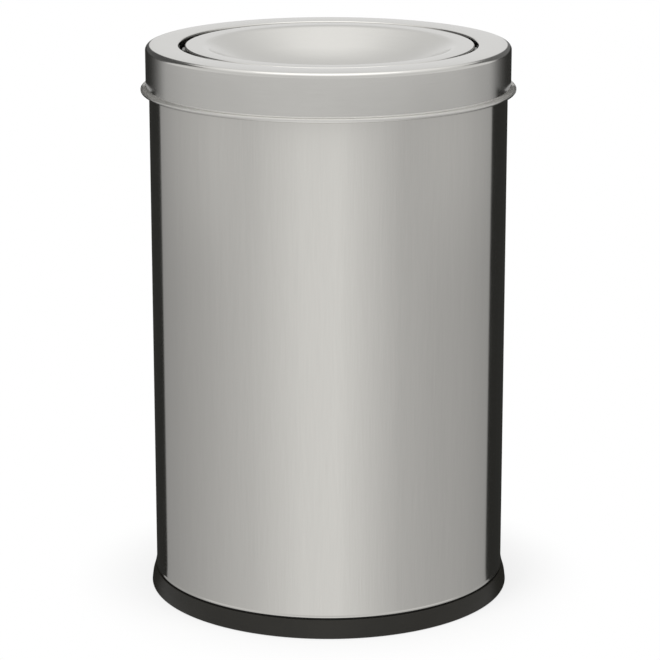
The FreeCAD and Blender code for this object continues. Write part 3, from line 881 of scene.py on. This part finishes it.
class BinStage(bpy.types.Operator):
    """Set the camera, the pale floor, the soft lights and the reflection cards"""
    bl_idname = "bin.stage"
    bl_label = "Studio"

    def execute(self, context):
        s = context.scene.bin_studio
        self.set_camera(context, s)
        self.lay_floor(context, s)
        self.hang_tent(s)
        self.hang_soft_box(s)
        self.stand_flags(context, s)
        self.hang_lights(context)
        self.paint_world(context)
        context.scene.view_settings.view_transform = "Standard"
        return {"FINISHED"}

    def set_camera(self, context, s):
        """The photograph's viewing angle."""
        clear_selection()
        bpy.ops.object.camera_add(location=(s.camera_side, -s.camera_distance, s.camera_height))
        camera = context.object
        camera.name = "bin_camera"
        tilt = Matrix.Rotation(math.pi / 2 - s.camera_pitch, 4, "X")
        roll = Matrix.Rotation(s.camera_roll, 4, "Z")
        camera.matrix_world = Matrix.Translation(camera.location) @ tilt @ roll
        camera.data.lens = s.lens
        camera.data.sensor_width = 36.0
        camera.data.clip_end = 60.0
        context.scene.camera = camera

    def lay_floor(self, context, s):
        """A pale floor that fades to white away from the bin, so that its shadow stays."""
        clear_selection()
        bpy.ops.mesh.primitive_plane_add(size=s.floor_size, location=(0, 0, -FLOOR_DROP))
        floor = context.object
        floor.name = "studio_floor"
        floor.visible_glossy = False
        material, tree, shader = new_material("studio_floor")
        feed(tree, shader, {"Base Color": (0.93, 0.93, 0.93, 1), "Roughness": 0.9, "Specular IOR Level": 0})
        white = add_node(tree, "ShaderNodeEmission", {"Color": (1, 1, 1, 1)})
        axes = object_place(tree)[1]
        fade = rise(tree, from_axis(tree, axes["X"], axes["Y"]), *FLOOR_FADE)
        fade = maths(tree, "MULTIPLY_ADD", fade, 1 - FLOOR_WHITE_SHARE, FLOOR_WHITE_SHARE)
        camera_ray = tree.nodes.new("ShaderNodeLightPath").outputs["Is Camera Ray"]
        blended(tree, times(tree, fade, camera_ray), shader.outputs[0], white)
        floor.data.materials.append(material)

    def hang_tent(self, s):
        """A tent round the bin, seen only in reflections: brightest in front, dimmer to the back."""
        clear_selection()
        bpy.ops.mesh.primitive_cylinder_add(
            vertices=96, radius=s.tent_radius, depth=4.0, end_fill_type="NOTHING", location=(0, 0, 0.6))
        bpy.ops.object.transform_apply(location=True, rotation=False, scale=False)
        tree, shader = gloss_card("studio_tent")
        across, along, up = object_place(tree)[1]
        bearing = maths(tree, "ARCTAN2", across, times(tree, along, -1.0))
        turn = maths(tree, "MULTIPLY_ADD", bearing, 0.5 / math.pi, 0.5)
        low = self.shares_ramp(tree, turn, TENT_SHARES)
        low = times(tree, low, self.side_lift(tree, turn, up))
        low = mixed(tree, rise(tree, up, *SKIRT_BAND), low, self.shares_ramp(tree, turn, SKIRT_SHARES))
        upper = mixed(tree, rise(tree, up, *MIDDLE_BAND), s.tent_level, s.tent_middle)
        upper = mixed(tree, rise(tree, up, *TOP_BAND), upper, s.tent_top)
        for patch in PATCHES:
            upper = times(tree, upper, self.patch_shade(tree, turn, up, patch))
        tree.links.new(mixed(tree, rise(tree, up, *LID_BAND), low, upper), shader.inputs["Strength"])

    def side_lift(self, tree, turn, up):
        """How much brighter the tent's sides are at a height, from 1."""
        from_front = maths(tree, "ABSOLUTE", plus(tree, turn, -0.5))
        from_side = maths(tree, "ABSOLUTE", plus(tree, from_front, -SIDE_SHARE))
        lift = times(tree, rise(tree, from_side, *SIDE_FADE_SHARES), rise(tree, up, *SIDE_BAND))
        return maths(tree, "MULTIPLY_ADD", lift, SIDE_LIFT_SHARE, 1.0)

    def patch_shade(self, tree, turn, up, patch):
        """What a dark patch leaves of the tent's brightness: a soft, slanted box with one firm side."""
        edge, where, height, width, tall, slant, dark = patch
        skew = maths(tree, "MULTIPLY_ADD", up, -slant, slant * height - where)
        wide = times(tree, plus(tree, turn, skew), 1 / width)
        high = times(tree, maths(tree, "SUBTRACT", up, height), 1 / tall)
        away = maths(tree, "MAXIMUM", maths(tree, "ABSOLUTE", wide), maths(tree, "ABSOLUTE", high))
        soft = math.copysign(PATCH_EDGE_SHARE, where - edge)
        firm = rise(tree, turn, edge - soft, edge + soft)
        inside = times(tree, rise(tree, away, *PATCH_FADE_SHARES), firm)
        return maths(tree, "MULTIPLY_ADD", inside, -dark, 1.0)

    def hang_soft_box(self, s):
        """A bright round card overhead, seen only in reflections."""
        clear_selection()
        place = (0, -SOFT_BOX_FRONT, s.soft_box_height)
        bpy.ops.mesh.primitive_circle_add(vertices=64, radius=s.soft_box, fill_type="NGON", location=place)
        tree, shader = gloss_card("studio_soft_box")
        feed(tree, shader, {"Strength": s.soft_box_glow})

    def shares_ramp(self, tree, turn, shares):
        """Brightness round the bin, from a table of shares."""
        ramp = tree.nodes.new("ShaderNodeValToRGB")
        tree.links.new(turn, ramp.inputs[0])
        stops = ramp.color_ramp.elements
        while len(stops) < len(shares):
            stops.new(0.5)
        for stop, (where, level) in zip(stops, shares):
            stop.position = where
            stop.color = (level, level, level, 1)
        return ramp.outputs["Color"]

    def stand_flags(self, context, s):
        """Dark cards at both sides for the steel's dark edges: firm for the shell, soft for the lid."""
        shell = context.scene.bin_shell
        lid = context.scene.bin_lid
        wall = shell.radius + shell.toe_out + CARD_GAP
        skirt = shell.radius + lid.skirt_gap + shell.gauge + CARD_GAP
        top = LID_FOOT - s.flag_top
        neck = LID_TOP - lid.bead_drop + s.lid_flag_lift
        for side, shell_reach, lid_reach in (
                (-1, s.flag_left, s.lid_flag_left),
                (1, s.flag_right, s.lid_flag_right)):
            self.stand_card(side * wall, side * (wall + shell_reach), -s.flag_drop, top, SHELL_CARD_SHARE)
            self.stand_card(side * skirt, side * (skirt + lid_reach), neck, LID_TOP,
                            LID_CARD_SHARE, s.lid_flag_slant, CARD_GAP)

    def stand_card(self, inner, outer, low, high, firm, slant=0.0, behind=0.0):
        """A dark upright card between two X that fades past its firm share; its lower edge may slant."""
        foot = low
        low = foot - slant * abs(outer - inner)
        clear_selection()
        middle = ((inner + outer) / 2, behind, (low + high) / 2)
        bpy.ops.mesh.primitive_plane_add(size=1, rotation=(math.pi / 2, 0, 0), location=middle)
        bpy.context.object.scale = (abs(outer - inner), high - low, 1)
        bpy.ops.object.transform_apply()
        tree, shader = gloss_card("studio_flag")
        feed(tree, shader, {"Color": (0.03, 0.03, 0.028, 1)})
        clear = tree.nodes.new("ShaderNodeBsdfTransparent")
        axes = object_place(tree)[1]
        fade = rise(tree, axes["X"], inner + (outer - inner) * firm, outer)
        if slant:
            height = maths(tree, "MULTIPLY_ADD", maths(tree, "ABSOLUTE", axes["X"]), slant, axes["Z"])
            limit = foot + slant * abs(inner)
            fade = maths(tree, "MAXIMUM", fade, rise(tree, height, limit, limit - CARD_EDGE))
        blended(tree, fade, shader.outputs[0], clear.outputs[0])

    def hang_lights(self, context):
        """A large soft key from the upper left and a weaker one from the right."""
        for name, place, size, power in (
                ("studio_key", (-1.6, -1.8, 2.6), 1.8, 42.0),
                ("studio_fill", (1.9, -1.2, 1.9), 1.6, 18.0)):
            clear_selection()
            bpy.ops.object.light_add(type="AREA", location=place)
            lamp = context.object
            lamp.name = name
            lamp.data.shape = "DISK"
            lamp.data.size = size
            lamp.data.energy = power
            aim = Vector((0, 0, 0.2)) - Vector(place)
            lamp.rotation_euler = aim.to_track_quat("-Z", "Y").to_euler()
            lamp.visible_glossy = False
            lamp.visible_camera = False

    def paint_world(self, context):
        """White behind everything and in reflections, a plain soft level for the rest."""
        world = bpy.data.worlds.new("studio_world")
        context.scene.world = world
        world.use_nodes = True
        tree = world.node_tree
        tree.nodes.clear()
        rays = tree.nodes.new("ShaderNodeLightPath").outputs
        seen = maths(tree, "MAXIMUM", rays["Is Camera Ray"], rays["Is Glossy Ray"])
        seen = maths(tree, "MAXIMUM", seen, rays["Is Transmission Ray"])
        level = maths(tree, "MULTIPLY_ADD", seen, 1 - WORLD_LEVEL, WORLD_LEVEL)
        background = add_node(tree, "ShaderNodeBackground", {"Color": (1, 1, 1, 1), "Strength": level})
        output = tree.nodes.new("ShaderNodeOutputWorld")
        tree.links.new(background, output.inputs["Surface"])


class BinPanel(bpy.types.Panel):
    """Lists the bin's pieces and its studio in the sidebar"""
    bl_idname = "VIEW3D_PT_bin"
    bl_label = "Swing-top bin"
    bl_space_type = "VIEW_3D"
    bl_region_type = "UI"
    bl_category = "Swing-top bin"

    def draw(self, context):
        for step in STEPS:
            self.layout.operator(step.bl_idname)
        for name in SETTINGS:
            group = getattr(context.scene, name)
            column = self.layout.column(heading=name)
            for key in group.bl_rna.properties.keys():
                if key not in ("rna_type", "name"):
                    column.prop(group, key)


SETTINGS = {
    "bin_shell": BinShellSizes,
    "bin_base": BinBaseSizes,
    "bin_bucket": BinBucketSizes,
    "bin_lid": BinLidSizes,
    "bin_flap": BinFlapSizes,
    "bin_finishes": BinFinishes,
    "bin_studio": BinStudio,
}
STEPS = (BinShell, BinBaseRing, BinPan, BinBucket, BinLid, BinFlap, BinFixings, BinStage)


def register():
    """Registers the settings, the operators and the panel."""
    for name, group in SETTINGS.items():
        bpy.utils.register_class(group)
        setattr(bpy.types.Scene, name, PointerProperty(type=group))
    for step in STEPS:
        bpy.utils.register_class(step)
    bpy.utils.register_class(BinPanel)


def unregister():
    """Takes the panel, the operators and the settings away again."""
    bpy.utils.unregister_class(BinPanel)
    for step in reversed(STEPS):
        bpy.utils.unregister_class(step)
    for name, group in reversed(list(SETTINGS.items())):
        delattr(bpy.types.Scene, name)
        bpy.utils.unregister_class(group)


def main():
    """Builds every piece and the studio."""
    register()
    for step in STEPS:
        group, name = step.bl_idname.split(".")
        getattr(getattr(bpy.ops, group), name)()


if __name__ == "__main__":
    main()
